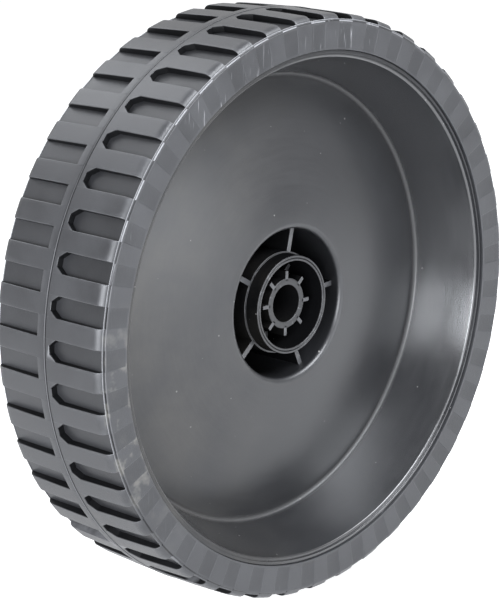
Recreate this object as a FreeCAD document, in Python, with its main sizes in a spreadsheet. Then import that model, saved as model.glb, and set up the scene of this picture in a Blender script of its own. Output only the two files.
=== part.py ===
import FreeCAD, Part
import math
import os
import Sketcher

# Lawn mower wheel: a block-tread tyre seated on a one-piece moulded wheel body.
# Millimetres. The origin is the wheel's centre, the axle runs along Y, the dished outer face
# looks towards -Y and Z is up. Depths are measured inwards from the sidewalls' outer edges.

SIZES = (
    ("tread_radius", 101.2, "radius over the tread blocks"),
    ("tread_crown", 0.45, "fall of the tread from its middle to its shoulders"),
    ("tyre_width", 50.8, "width over the sidewalls' outer edges"),
    ("sidewall_rise", 0.4, "rise of a sidewall from its outer to its inner edge"),
    ("shoulder", 3.9, "width of the eased shoulder between tread and sidewall"),
    ("edge_drop", 3.0, "height of the tread over the sidewalls' outer edges"),
    ("edge_bevel", 0.5, "bevel along the sidewalls' outer edges"),
    ("parting_ridge_height", 0.3, "moulding ridge round the middle of the tread"),
    ("parting_ridge_width", 0.6, "width of that ridge"),
    ("block_count", 45, "tread blocks in each row"),
    ("tread_phase", 0.9, "angle of the first outer pocket from the top, in degrees"),
    ("pocket_angle", 4.0, "width of the pockets between blocks, in degrees"),
    ("recess_angle", 4.2, "width of the outer sidewall recesses, in degrees"),
    ("pocket_depth", 2.4, "depth of the pockets below the tread"),
    ("pocket_tip_gap", 2.2, "land between an outer pocket and the middle"),
    ("pocket_tip_length", 3.1, "length of the chamfered end of an outer pocket"),
    ("pocket_tip_flat", 2.8, "flat across the end of an outer pocket"),
    ("slot_gap", 3.6, "land between an inner slot and the middle"),
    ("cut_clearance", 1.0, "reach of the tread cuts beyond the tyre"),
    ("panel_step", 0.4, "height of the sidewall panels"),
    ("panel_margin", 1.2, "plain ring inside the sidewall recesses"),
    ("edge_margin", 0.9, "plain ring outside the sidewall recesses"),
    ("tyre_height", 12.5, "height of the tread over the rim"),
    ("lip_depth", 1.3, "depth of the rim lip below the sidewall"),
    ("lip_wall", 2.4, "thickness of the rim at its lip"),
    ("lip_bevel", 0.8, "bevel at the mouth of the rim lip"),
    ("seat_width", 4.5, "width of the straight seats at the rim's edges"),
    ("waist_drop", 5.5, "depth of the rim's waist"),
    ("waist_width", 9.0, "width of the rim's waist"),
    ("fit_gap", 0.1, "gap between the tyre and the rim"),
    ("barrel_taper", 10.0, "height of the rim over the foot of the barrel"),
    ("disc_thickness", 3.2, "thickness of the disc"),
    ("dome_radius", 263.0, "radius of the domed disc, centred on the axle"),
    ("base_ease", 1.4, "eased corner between disc and barrel on the outer side"),
    ("recess_radius", 26.1, "radius of the hub recess"),
    ("recess_depth", 14.1, "depth of the disc at the recess"),
    ("recess_ease", 1.2, "eased edge of the recess"),
    ("sleeve_wall", 3.0, "wall round the hub recess"),
    ("web_thickness", 3.0, "closed end of the hub recess"),
    ("web_depth", 1.9, "depth of the recess end below the inner sidewall"),
    ("hub_rib_count", 5, "ribs in the hub recess"),
    ("hub_rib_phase", -13.0, "angle of the first hub rib from the top, in degrees"),
    ("hub_rib_thickness", 2.0, "thickness of the hub ribs"),
    ("hub_rib_depth", 18.4, "depth of the hub ribs' tops"),
    ("tube_radius", 17.2, "outer radius of the hub tube"),
    ("tube_wall", 1.9, "wall of the hub tube"),
    ("tube_depth", 13.0, "depth of the hub tube's end"),
    ("collar_step", 0.7, "step on the hub tube at the ribs"),
    ("bore_radius", 6.45, "axle bore"),
    ("bore_chamfer", 0.4, "lead-in of the bore"),
    ("bush_radius", 8.9, "outer radius of the bush"),
    ("bush_depth", 15.7, "depth of the bush's outer end"),
    ("boss_height", 3.0, "height of the thrust boss on the inner side"),
    ("fin_count", 8, "fins round the bush"),
    ("fin_phase", -2.0, "angle of the first fin from the top, in degrees"),
    ("fin_thickness", 1.5, "thickness of the fins"),
    ("fin_tip_radius", 11.5, "radius of the fin tips at the bush's end"),
    ("fin_web_drop", 9.0, "depth from the bush's end to where fins meet the tube"),
    ("back_rib_count", 10, "stiffening ribs behind the disc"),
    ("back_rib_thickness", 2.2, "thickness of those ribs"),
    ("back_rib_foot", 4.0, "height of those ribs at the barrel"),
    ("back_rib_rise", 16.0, "height of those ribs at the hub"),
)

document = FreeCAD.newDocument("LawnMowerWheel")
sheet = document.addObject("Spreadsheet::Sheet", "Sizes")
for row, (alias, value, note) in enumerate(SIZES, start=1):
    sheet.set(f"A{row}", alias)
    sheet.set(f"B{row}", str(value))
    sheet.set(f"C{row}", note)
    sheet.setAlias(f"B{row}", alias)
document.recompute()


class Size:
    """A number together with the expression that gives it from the sheet."""

    def __init__(self, value, text):
        self.value = float(value)
        self.text = text

    def __add__(self, other):
        other = lift(other)
        return Size(self.value + other.value, f"({self.text} + {other.text})")

    def __sub__(self, other):
        other = lift(other)
        return Size(self.value - other.value, f"({self.text} - {other.text})")

    def __mul__(self, factor):
        factor = lift(factor)
        return Size(self.value * factor.value, f"({self.text} * {factor.text})")

    def __truediv__(self, divisor):
        divisor = lift(divisor)
        return Size(self.value / divisor.value, f"({self.text} / {divisor.text})")

    def __neg__(self):
        return Size(-self.value, f"(-{self.text})")


def lift(number):
    """Let plain numbers stand beside sheet sizes."""
    return number if isinstance(number, Size) else Size(number, str(number))


def size(alias):
    return Size(sheet.get(alias), f"Sizes.{alias}")


def origin_feature(body, role):
    return next(feature for feature in body.Origin.OriginFeatures if feature.Role == role)


def new_body(label):
    body = document.addObject("PartDesign::Body", label)
    body.Label = label
    return body


def sketch_on(body, name, role, base=(0, 0, 0), turn=0):
    """A sketch on an origin plane, moved by base and turned about the axle, bound to sizes."""
    sketch = body.newObject("Sketcher::SketchObject", name)
    sketch.AttachmentSupport = [(origin_feature(body, role), "")]
    sketch.MapMode = "FlatFace"
    spots = [lift(number) for number in base]
    turn = lift(turn)
    axle = FreeCAD.Vector(0, 1, 0) if role == "XY_Plane" else FreeCAD.Vector(0, 0, 1)
    sketch.AttachmentOffset = FreeCAD.Placement(
        FreeCAD.Vector(*(spot.value for spot in spots)), FreeCAD.Rotation(axle, turn.value))
    for letter, spot in zip("xyz", spots):
        sketch.setExpression(f".AttachmentOffset.Base.{letter}", spot.text)
    sketch.setExpression(".AttachmentOffset.Rotation.Angle", turn.text)
    return sketch


def outline(sketch, corners, arcs=None):
    """A closed outline through corners.

    arcs maps a corner's number to the radius of the arc that follows it and the side it bulges to,
    -1 for the right of the way along and 1 for the left. Sketch arcs run counter-clockwise.
    """
    arcs = arcs or {}
    corners = [tuple(lift(number) for number in corner) for corner in corners]
    spots = [FreeCAD.Vector(x.value, y.value, 0) for x, y in corners]
    joints = []
    for index, start in enumerate(spots):
        end = spots[(index + 1) % len(spots)]
        if index not in arcs:
            sketch.addGeometry(Part.LineSegment(start, end))
            joints.append((1, 2))
            continue
        radius, side = arcs[index]
        chord = end - start
        across = FreeCAD.Vector(-chord.y, chord.x, 0).normalize() * side
        sag = radius.value - (radius.value ** 2 - chord.Length ** 2 / 4) ** 0.5
        middle = (start + end) / 2 + across * sag
        if side < 0:
            sketch.addGeometry(Part.Arc(start, middle, end))
            joints.append((1, 2))
        else:
            sketch.addGeometry(Part.Arc(end, middle, start))
            joints.append((2, 1))
    count = len(corners)
    for index, (_, last) in enumerate(joints):
        following = (index + 1) % count
        first = joints[following][0]
        sketch.addConstraint(Sketcher.Constraint("Coincident", index, last, following, first))
    for index, (x, y) in enumerate(corners):
        hold_corner(sketch, index, joints[index][0], x, y)
    for index, (radius, side) in arcs.items():
        number = sketch.addConstraint(Sketcher.Constraint("Radius", index, radius.value))
        sketch.setExpression(f"Constraints[{number}]", radius.text)


def hold_corner(sketch, edge, end, x, y):
    """Hold one end of an edge at (x, y)."""
    for kind, spot, axis_edge in (("DistanceX", x, -2), ("DistanceY", y, -1)):
        if abs(spot.value) < 1e-9:
            sketch.addConstraint(Sketcher.Constraint("PointOnObject", edge, end, axis_edge))
        else:
            number = sketch.addConstraint(Sketcher.Constraint(kind, -1, 1, edge, end, spot.value))
            sketch.setExpression(f"Constraints[{number}]", spot.text)


def revolve(body, sketch):
    """Turn a profile once round the axle."""
    turned = body.newObject("PartDesign::Revolution", f"{sketch.Name}Revolved")
    turned.Profile = sketch
    turned.ReferenceAxis = (sketch, ["V_Axis"])
    turned.Angle = 360
    document.recompute()
    return turned


def cut_outwards(body, sketch):
    """Pocket everything that stands outside the sketch, along its normal."""
    before = body.Tip.Shape.Volume
    pocket = body.newObject("PartDesign::Pocket", f"{sketch.Name}Cut")
    pocket.Profile = sketch
    pocket.Reversed = True
    pocket.Type = "ThroughAll"
    return cut_something(pocket, before)


def cut_round(body, sketch, angle):
    """Groove the sketch round the axle through an angle, half to each side."""
    before = body.Tip.Shape.Volume
    groove = body.newObject("PartDesign::Groove", f"{sketch.Name}Cut")
    groove.Profile = sketch
    groove.ReferenceAxis = (sketch, ["V_Axis"])
    groove.Midplane = True
    groove.Angle = angle.value
    groove.setExpression("Angle", angle.text)
    return cut_something(groove, before)


def cut_something(feature, before):
    """Recompute and stop if the feature took nothing away."""
    document.recompute()
    if not feature.Shape.Volume < before:
        raise RuntimeError(f"{feature.Name} cuts nothing")
    return feature


def pad(body, sketch, length):
    """Add material from the sketch against its normal."""
    before = body.Tip.Shape.Volume
    added = body.newObject("PartDesign::Pad", f"{sketch.Name}Pad")
    added.Profile = sketch
    added.Reversed = True
    added.Length = length.value
    added.setExpression("Length", length.text)
    document.recompute()
    if not added.Shape.Volume > before:
        raise RuntimeError(f"{sketch.Name} adds nothing")
    return added


def repeat_round_axle(body, name, features, count):
    """Repeat features evenly round the axle."""
    pattern = body.newObject("PartDesign::PolarPattern", name)
    pattern.Originals = features
    pattern.Axis = (origin_feature(body, "Y_Axis"), [""])
    pattern.Angle = 360
    pattern.Occurrences = int(count.value)
    pattern.setExpression("Occurrences", count.text)
    body.Tip = pattern
    document.recompute()
    return pattern


def sine(turn):
    """Sine of a turn in degrees."""
    return Size(math.sin(math.radians(turn.value)), f"sin({turn.text} * 1deg)")


def cosine(turn):
    """Cosine of a turn in degrees."""
    return Size(math.cos(math.radians(turn.value)), f"cos({turn.text} * 1deg)")


def dome_y(centre_y, dome_radius, radius):
    """Place along the axle of a dome's surface at a radius."""
    return centre_y - dome_rise(dome_radius, radius)


def dome_rise(dome_radius, radius):
    """Distance along the axle from a dome's centre to its surface at a radius."""
    square = dome_radius * dome_radius - radius * radius
    return Size(math.sqrt(square.value), f"sqrt({square.text})")


def rectangle(left, bottom, right, top):
    return [(left, bottom), (right, bottom), (right, top), (left, top)]


def eased(before, corner, after):
    """The three corners that take off a sharp corner in two bevels, from before it to after it."""
    knee = tuple((b + c * 2 + a) / 4 for b, c, a in zip(before, corner, after))
    return [before, knee, after]


# Turn that stands the radial axis of a section sketch upright, in degrees
UPRIGHT = 90

# Places along the axle that the pieces share
half_width = size("tyre_width") / 2
face_y = half_width + size("sidewall_rise")
lip_y = half_width - size("lip_depth")
seat_y = lip_y - size("seat_width")
waist_y = size("waist_width") / 2

# Radii that the pieces share
tread_radius = size("tread_radius")
edge_radius = tread_radius - size("edge_drop")
floor_radius = tread_radius - size("pocket_depth")
rim_radius = tread_radius - size("tyre_height")
seat_radius = rim_radius + size("fit_gap")
waist_radius = rim_radius - size("waist_drop")
barrel_radius = rim_radius - size("barrel_taper")


def build_tyre():
    """Ring with a crowned tread, two staggered rows of tread blocks and panelled sidewalls."""
    body = new_body("tyre")
    ridge_foot = size("parting_ridge_width") / 2
    ridge_top = ridge_foot / 3
    ridge_radius = tread_radius + size("parting_ridge_height")
    waist = waist_radius + size("fit_gap")
    section = sketch_on(body, "TyreSection", "XY_Plane")
    outline(section, [
        (seat_radius, -face_y), *shoulder_corners(-1),
        (tread_radius, -ridge_foot), (ridge_radius, -ridge_top),
        (ridge_radius, ridge_top), (tread_radius, ridge_foot),
        *reversed(shoulder_corners(1)), (seat_radius, face_y),
        (seat_radius, seat_y), (waist, waist_y), (waist, -waist_y), (seat_radius, -seat_y)])
    revolve(body, section)
    outer_turn = -size("tread_phase")
    cut_outer_row(body, outer_turn)
    cut_inner_row(body, outer_turn - Size(180, "180") / size("block_count"))
    return body


def shoulder_corners(side):
    """Corners from a sidewall's outer edge over its bevel and eased shoulder to the tread."""
    bevel = size("edge_bevel")
    bevel_end = (edge_radius + bevel, (half_width - bevel) * side)
    crown_end = (tread_radius - size("tread_crown"), (half_width - size("shoulder")) * side)
    corner = (crown_end[0], (half_width - bevel * 2) * side)
    return [(edge_radius, half_width * side), *eased(bevel_end, corner, crown_end)]


def cut_outer_row(body, turn):
    """Bullet-shaped pockets that run out over the shoulder, with recesses down the outer sidewall."""
    half = tread_radius * sine(size("pocket_angle") / 2)
    flat = size("pocket_tip_flat") / 2
    floor = floor_radius
    tip_y = -size("pocket_tip_gap")
    chamfer_y = tip_y - size("pocket_tip_length")
    run_out = -face_y
    bullet = sketch_on(body, "OuterPocket", "XY_Plane", (floor * sine(turn), 0, floor * cosine(turn)), turn)
    outline(bullet, [(-half, run_out), (half, run_out), (half, chamfer_y),
                     (flat, tip_y), (-flat, tip_y), (-half, chamfer_y)])
    pocket = cut_outwards(body, bullet)
    recess = cut_recess(body, "OuterRecess", -1, turn, size("recess_angle"))
    repeat_round_axle(body, "OuterRow", [pocket, recess], size("block_count"))


def cut_inner_row(body, turn):
    """Square-ended slots that run out over the shoulder, with recesses down the inner sidewall."""
    clear = tread_radius + size("cut_clearance")
    profile = sketch_on(body, "InnerSlot", "XY_Plane", turn=turn - UPRIGHT)
    outline(profile, rectangle(floor_radius, size("slot_gap"), clear, face_y))
    slot = cut_round(body, profile, size("pocket_angle"))
    recess = cut_recess(body, "InnerRecess", 1, turn, size("pocket_angle"))
    repeat_round_axle(body, "InnerRow", [slot, recess], size("block_count"))


def cut_recess(body, name, side, turn, angle):
    """A shallow recess between two panels of a sidewall, parallel to its slope."""
    beyond = (face_y + size("cut_clearance")) * side
    inner = seat_radius + size("panel_margin")
    outer = edge_radius - size("edge_margin")
    slope = size("sidewall_rise") / (edge_radius - seat_radius)
    sunk = half_width - size("panel_step")
    inner_y = (sunk + slope * (edge_radius - inner)) * side
    outer_y = (sunk + slope * (edge_radius - outer)) * side
    recess = sketch_on(body, name, "XY_Plane", turn=turn - UPRIGHT)
    outline(recess, [(inner, beyond), (inner, inner_y), (outer, outer_y), (outer, beyond)])
    return cut_round(body, recess, angle)


def build_wheel_body():
    """One moulding: rim, domed disc, hub recess with ribs, hub tube and finned bush."""
    body = new_body("wheel_body")
    mouth = rim_radius - size("lip_wall")
    base = barrel_radius
    base_ease = size("base_ease")
    disc_edge = base - base_ease
    bevel = size("lip_bevel")
    recess = size("recess_radius")
    recess_ease = size("recess_ease")
    disc_start = recess + recess_ease
    sleeve = recess + size("sleeve_wall")
    dome = size("dome_radius")
    dome_back = dome - size("disc_thickness")
    recess_front = size("recess_depth") - half_width
    centre_y = recess_front + dome_rise(dome, disc_start)
    edge_front = dome_y(centre_y, dome, disc_edge)
    edge_back = dome_y(centre_y, dome_back, base)
    sleeve_back = dome_y(centre_y, dome_back, sleeve)
    hub_face = half_width - size("web_depth")
    floor = hub_face - size("web_thickness")
    tube = size("tube_radius")
    tube_inner = tube - size("tube_wall")
    tube_end = size("tube_depth") - half_width
    collar = tube + size("collar_step")
    rib_top = size("hub_rib_depth") - half_width
    bore = size("bore_radius")
    lead = size("bore_chamfer")
    bush = size("bush_radius")
    bush_end = size("bush_depth") - half_width
    boss_end = hub_face + size("boss_height")
    recess_edge = eased(
        (recess, recess_front + recess_ease), (recess, recess_front), (disc_start, recess_front))
    slope = (mouth - base) / (edge_front + lip_y - bevel)
    barrel_foot = eased(
        (disc_edge, edge_front), (base, edge_front), (base + slope * base_ease, edge_front - base_ease))
    corners = [
        (bore, bush_end + lead), (bore + lead, bush_end), (bush, bush_end), (bush, floor),
        (tube_inner, floor), (tube_inner, tube_end), (tube, tube_end), (tube, rib_top),
        (collar, rib_top), (collar, floor), (recess, floor),
        *recess_edge, *barrel_foot, (mouth, bevel - lip_y), (mouth + bevel, -lip_y),
        (rim_radius, -lip_y), (rim_radius, -seat_y), (waist_radius, -waist_y),
        (waist_radius, waist_y), (rim_radius, seat_y), (rim_radius, lip_y),
        (mouth + bevel, lip_y), (mouth, lip_y - bevel), (base, edge_back), (sleeve, sleeve_back),
        (sleeve, hub_face), (tube, hub_face), (tube, boss_end),
        (bore + lead, boss_end), (bore, boss_end - lead)]
    front_dome = corners.index((disc_start, recess_front))
    back_dome = corners.index((base, edge_back))
    section = sketch_on(body, "WheelSection", "XY_Plane")
    outline(section, corners, {front_dome: (dome, -1), back_dome: (dome_back, 1)})
    revolve(body, section)
    add_hub_ribs(body, rib_top, floor, tube_inner, recess)
    add_bush_fins(body, bush_end, floor, tube_inner)
    add_back_ribs(body, recess_front, edge_front)
    return body


def add_hub_ribs(body, top, floor, tube_inner, recess):
    """Radial ribs between the recess wall and the hub tube."""
    half = size("hub_rib_thickness") / 2
    inner = tube_inner + size("tube_wall") / 2
    outer = recess + size("sleeve_wall") / 3
    rib = sketch_on(body, "HubRib", "XZ_Plane", (0, 0, -top), size("hub_rib_phase"))
    outline(rib, rectangle(-half, inner, half, outer))
    repeat_round_axle(body, "HubRibs", [pad(body, rib, floor - top)], size("hub_rib_count"))


def add_bush_fins(body, bush_end, floor, tube_inner):
    """Short fins at the bush's end, which carry on to the hub tube further in."""
    half = size("fin_thickness") / 2
    inner = (size("bore_radius") + size("bush_radius")) / 2
    turn = size("fin_phase")
    tip = sketch_on(body, "FinTip", "XZ_Plane", (0, 0, -bush_end), turn)
    outline(tip, rectangle(-half, inner, half, size("fin_tip_radius")))
    web_top = bush_end + size("fin_web_drop")
    web = sketch_on(body, "FinWeb", "XZ_Plane", (0, 0, -web_top), turn)
    outline(web, rectangle(-half, inner, half, tube_inner + size("tube_wall") / 2))
    fins = [pad(body, tip, floor - bush_end), pad(body, web, floor - web_top)]
    repeat_round_axle(body, "BushFins", fins, size("fin_count"))


def add_back_ribs(body, recess_front, edge_front):
    """Gusset ribs behind the disc, from the hub sleeve to the barrel."""
    hub = size("recess_radius") + size("sleeve_wall") / 2
    barrel = (barrel_radius + waist_radius) / 2
    sink = size("disc_thickness") / 4
    thickness = size("disc_thickness")
    gusset = sketch_on(body, "BackRib", "XY_Plane", turn=-size("hub_rib_phase") - UPRIGHT)
    outline(gusset, [
        (hub, recess_front + sink), (barrel, edge_front + sink),
        (barrel, edge_front + thickness + size("back_rib_foot")),
        (hub, recess_front + thickness + size("back_rib_rise"))])
    before = body.Tip.Shape.Volume
    rib = body.newObject("PartDesign::Pad", "BackRibPad")
    rib.Profile = gusset
    rib.Midplane = True
    rib.Length = size("back_rib_thickness").value
    rib.setExpression("Length", size("back_rib_thickness").text)
    document.recompute()
    if not rib.Shape.Volume > before:
        raise RuntimeError("BackRib adds nothing")
    repeat_round_axle(body, "BackRibs", [rib], size("back_rib_count"))


def check(bodies):
    """Stop on any failed object or bad shape."""
    for thing in document.Objects:
        if "Invalid" in thing.State or "Error" in thing.State:
            raise RuntimeError(f"{thing.Label} failed: {thing.State}")
    for body in bodies:
        if body.Shape.isNull() or not body.Shape.isValid() or len(body.Shape.Solids) != 1:
            raise RuntimeError(f"{body.Label} has a bad shape")


def main():
    bodies = [build_tyre(), build_wheel_body()]
    document.recompute()
    check(bodies)
    os.makedirs("parts", exist_ok=True)
    for body in bodies:
        body.Placement = FreeCAD.Placement()
        body.Shape.exportStep(f"parts/{body.Label}.step")
        print(body.Label, "volume in cubic centimetres", round(body.Shape.Volume / 1000, 1))


main()
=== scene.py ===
import math

import bmesh
import bpy
from mathutils import Matrix, Vector


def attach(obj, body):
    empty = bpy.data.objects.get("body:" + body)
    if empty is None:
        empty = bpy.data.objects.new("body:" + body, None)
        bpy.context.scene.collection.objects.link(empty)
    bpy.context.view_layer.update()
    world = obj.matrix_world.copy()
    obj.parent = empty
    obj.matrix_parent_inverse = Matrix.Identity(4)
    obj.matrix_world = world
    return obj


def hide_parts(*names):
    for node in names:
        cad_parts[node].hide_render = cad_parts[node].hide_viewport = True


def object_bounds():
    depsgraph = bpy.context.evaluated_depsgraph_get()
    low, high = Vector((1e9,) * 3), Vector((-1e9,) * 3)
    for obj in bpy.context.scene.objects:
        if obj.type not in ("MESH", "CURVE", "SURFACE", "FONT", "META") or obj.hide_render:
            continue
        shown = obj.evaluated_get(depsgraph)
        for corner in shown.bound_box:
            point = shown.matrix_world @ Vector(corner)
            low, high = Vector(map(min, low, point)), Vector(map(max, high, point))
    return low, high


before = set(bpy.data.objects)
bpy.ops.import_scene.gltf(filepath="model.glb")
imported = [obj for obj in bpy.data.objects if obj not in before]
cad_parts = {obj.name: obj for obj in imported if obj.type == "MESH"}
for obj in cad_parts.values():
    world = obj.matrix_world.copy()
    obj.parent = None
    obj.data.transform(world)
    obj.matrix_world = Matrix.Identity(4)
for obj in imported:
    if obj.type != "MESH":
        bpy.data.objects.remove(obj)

bl_info = {
    "name": "Lawn mower wheel",
    "version": (1, 0, 0),
    "blender": (4, 5, 0),
    "location": "3D View > Sidebar > Mower Wheel",
    "description": "Builds a moulded lawn mower wheel with a block-tread tyre, in metres",
    "category": "Object",
}

CAD_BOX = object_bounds()
MM = 0.001

# Largest turn between neighbouring points of a rounded corner
ARC_STEP = math.radians(22.5)

# Edges that turn more than this are shaded sharp
SHARP_TURN = math.radians(33)

# Largest share of a line's stretch that the arc at one of its ends takes up
ARC_SHARE = 0.49

# Turns of the points that round the long edges of the tread blocks, and how deep a recess is there
EDGE_TURNS = tuple(math.radians(step) for step in (0, 30, 60, 90))
EDGE_DEPTHS = (0, 0.2, 0.45, 0.75)

# Spans along the rounded shoulder, along the tread, along the disc and round the wheel body
SHOULDER_STEPS = 8
CROWN_STEPS = 5
DISC_STEPS = 12
ROUND_STEPS = 256

# Run of a sidewall recess's sloping edge for each part of its depth
RECESS_SLOPE = 3

# A fin's web is this share of its thickness, so that no two faces lie in one plane
WEB_SHARE = 0.98

# Places closer than this are one point of a mesh
JOIN_DISTANCE = 1e-6


def length(name, description, millimetres):
    """A size in metres, written here in millimetres."""
    return bpy.props.FloatProperty(
        name=name, description=description, default=millimetres * MM,
        subtype="DISTANCE", unit="LENGTH", precision=5)


def angle(name, description, degrees):
    """An angle, written here in degrees."""
    return bpy.props.FloatProperty(
        name=name, description=description, default=math.radians(degrees),
        subtype="ANGLE", unit="ROTATION")


def count(name, description, number):
    """A number of like features."""
    return bpy.props.IntProperty(name=name, description=description, default=number, min=1)


def tint(name, description, colour):
    """A linear colour."""
    return bpy.props.FloatVectorProperty(
        name=name, description=description, default=colour, size=3, min=0, max=1, subtype="COLOR")


def share(name, description, value):
    """A share between none and all."""
    return bpy.props.FloatProperty(
        name=name, description=description, default=value, min=0, max=1, subtype="FACTOR")


def power(name, description, watts):
    """The power of a lamp."""
    return bpy.props.FloatProperty(name=name, description=description, default=watts, min=0, unit="POWER")


class TyreSizes(bpy.types.PropertyGroup):
    """Sizes of the tyre."""

    tread_radius: length("Tread radius", "Radius over the middle of the tread", 101.2)
    crown: length("Crown", "Fall of the tread from its middle to its shoulders", 0.45)
    half_width: length("Half width", "Middle of the tread to a sidewall's outer edge", 25.4)
    rise: length("Sidewall rise", "Rise of a sidewall from its outer to its inner edge", -0.2)
    shoulder: length("Shoulder", "Width of the rounded shoulder", 3.9)
    edge_drop: length("Edge drop", "Height of the tread over the sidewalls' outer edges", 3.0)
    edge_bevel: length("Edge bevel", "Bevel along those edges", 0.5)
    edge_round: length("Edge rounding", "Rounding of those edges", 0.12)
    ridge_height: length("Ridge height", "Height of the parting ridge", 0.15)
    ridge_top: length("Ridge top", "Half width of the parting ridge at its top", 0.12)
    ridge_foot: length("Ridge foot", "Half width of the parting ridge at its foot", 0.3)
    ridge_sink: length("Ridge sink", "Depth of the hollows beside the parting ridge", 0.2)
    ridge_reach: length("Ridge reach", "Half width over those hollows", 0.62)
    block_count: count("Blocks", "Tread blocks in each row", 45)
    phase: angle("Phase", "Angle of the first outer pocket from the top", 0.9)
    pocket_angle: angle("Pocket angle", "Width of a pocket round the tyre", 4.0)
    pocket_depth: length("Pocket depth", "Depth of the pockets below the tread", 2.4)
    pocket_lip: length("Pocket lip", "Height of the fine ridge at a pocket's open end", 0.25)
    ledge: length("Ledge", "Width of the ledge between that ridge and the sidewall", 0.4)
    ledge_rise: length("Ledge rise", "Height of that ledge over the sidewall's outer edge", 0.1)
    tip_gap: length("Tip gap", "Land between an outer pocket and the middle", 2.2)
    tip_length: length("Tip length", "Length of the tapered end of an outer pocket", 3.1)
    tip_flat: length("Tip flat", "Flat across the end of an outer pocket", 2.8)
    slot_gap: length("Slot gap", "Land between an inner slot and the middle", 3.6)
    block_round: length("Block rounding", "Rounding of the blocks' long edges", 0.3)
    panel_step: length("Panel step", "Height of the sidewall panels", 0.16)
    panel_margin: length("Panel margin", "Plain ring inside the recesses", 0.5)
    edge_margin: length("Edge margin", "Plain ring outside the recesses", 0.35)
    seat_radius: length("Seat radius", "Inside of the tyre on the rim", 88.8)
    mouth_round: length("Mouth rounding", "Rounding of the sidewalls' inner edges", 0.18)
    seat_y: length("Seat place", "Middle to where the seats begin", 19.6)
    waist_radius: length("Waist radius", "Inside of the tyre at its middle", 83.3)
    waist_y: length("Waist place", "Half width of the waist", 4.5)


class WheelBodySizes(bpy.types.PropertyGroup):
    """Sizes of the moulded wheel body; depths run along the axle from the wheel's middle."""

    rim_radius: length("Rim radius", "Radius of the rim under the tyre", 88.7)
    lip_y: length("Lip place", "Middle to the end of a rim lip", 24.4)
    lip_wall: length("Lip wall", "Thickness of the rim at its lip", 2.4)
    lip_round: length("Lip rounding", "Rounding of the rim lips", 0.7)
    step_radius: length("Step radius", "Fine step round the outer rim lip", 87.5)
    step_depth: length("Step depth", "Depth of that step", 0.7)
    step_foot: length("Step foot", "Rounding at the foot of that step", 0.08)
    step_round: length("Step rounding", "Rounding of the edges over that step", 0.15)
    seat_y: length("Seat place", "Middle to where the rim seats begin", 19.6)
    waist_radius: length("Waist radius", "Radius of the rim's waist", 83.2)
    waist_y: length("Waist place", "Half width of the waist", 4.5)
    barrel_radius: length("Barrel radius", "Foot of the barrel at the disc", 78.7)
    barrel_round: length("Barrel rounding", "Fillet between disc and barrel", 1.3)
    disc_thickness: length("Disc thickness", "Thickness of the disc", 3.2)
    dome_radius: length("Dome radius", "Radius of the domed disc", 263.0)
    dome_start: length("Dome start", "Radius where the dome is measured", 27.3)
    recess_radius: length("Recess radius", "Hub recess", 26.1)
    recess_y: length("Recess edge", "Place of the recess edge", -11.3)
    recess_round: length("Recess rounding", "Rounding of the recess edge", 2.0)
    sleeve_radius: length("Sleeve radius", "Outside of the recess wall", 29.1)
    sleeve_round: length("Sleeve rounding", "Fillet between that wall and the disc's back", 1.5)
    fine_round: length("Fine rounding", "Rounding of edges and corners with none of their own", 0.3)
    floor_y: length("Recess floor", "Place of the recess floor", 20.5)
    hub_face_y: length("Hub face", "Place of the hub's inner face", 23.5)
    hub_round: length("Hub rounding", "Rounding of that face's edge", 0.8)
    boss_y: length("Boss end", "Place of the thrust boss", 26.5)
    boss_round: length("Boss rounding", "Rounding of the thrust boss", 0.5)
    tube_radius: length("Tube radius", "Outside of the hub tube", 17.2)
    tube_wall: length("Tube wall", "Wall of the hub tube", 1.9)
    tube_y: length("Tube end", "Place of the hub tube's end", -12.4)
    tube_round: length("Tube rounding", "Rounding of the tube's end", 0.4)
    tube_groove: length("Tube groove", "Depth of the fine groove in the tube's end", 0.3)
    groove_round: length("Groove rounding", "Rounding of that groove's edges", 0.1)
    collar_radius: length("Collar radius", "Step on the hub tube", 17.9)
    collar_round: length("Collar rounding", "Fillet in the corner of that step", 0.2)
    rib_count: count("Hub ribs", "Ribs in the hub recess", 5)
    rib_phase: angle("Hub rib phase", "Angle of the first hub rib from the top", -13.0)
    rib_thickness: length("Hub rib thickness", "Thickness of the hub ribs", 2.0)
    rib_round: length("Hub rib rounding", "Rounding of the hub ribs' edges", 0.35)
    rib_y: length("Hub rib top", "Place of the hub ribs' tops", -7.0)
    rib_root: length("Hub rib root", "How far the hub ribs reach into the recess wall", 1.0)
    floor_root: length("Floor root", "How far ribs and fins reach into the recess floor", 0.5)
    bore_radius: length("Bore radius", "Axle bore", 6.45)
    bore_round: length("Bore rounding", "Rounding of the bore's ends", 0.45)
    bush_radius: length("Bush radius", "Outside of the bush", 8.9)
    bush_round: length("Bush rounding", "Rounding of the bush's outer end", 0.4)
    bush_y: length("Bush end", "Place of the bush's outer end", -9.7)
    fin_count: count("Fins", "Fins round the bush", 8)
    fin_phase: angle("Fin phase", "Angle of the first fin from the top", -2.0)
    fin_thickness: length("Fin thickness", "Thickness of the fins", 1.5)
    fin_tip: length("Fin tip", "Radius of the fin tips", 11.5)
    fin_web_drop: length("Fin web drop", "Bush end to where fins meet the tube", 9.0)
    fin_web_round: length("Fin web rounding", "Rounding of the fins' edges there", 0.25)
    back_rib_count: count("Back ribs", "Ribs behind the disc", 10)
    back_rib_thickness: length("Back rib thickness", "Thickness of those ribs", 2.2)
    back_rib_foot: length("Back rib foot", "Their height at the barrel", 4.0)
    back_rib_rise: length("Back rib rise", "Their height at the hub", 16.0)
    back_rib_round: length("Back rib rounding", "Rounding of their edges", 0.4)


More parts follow.
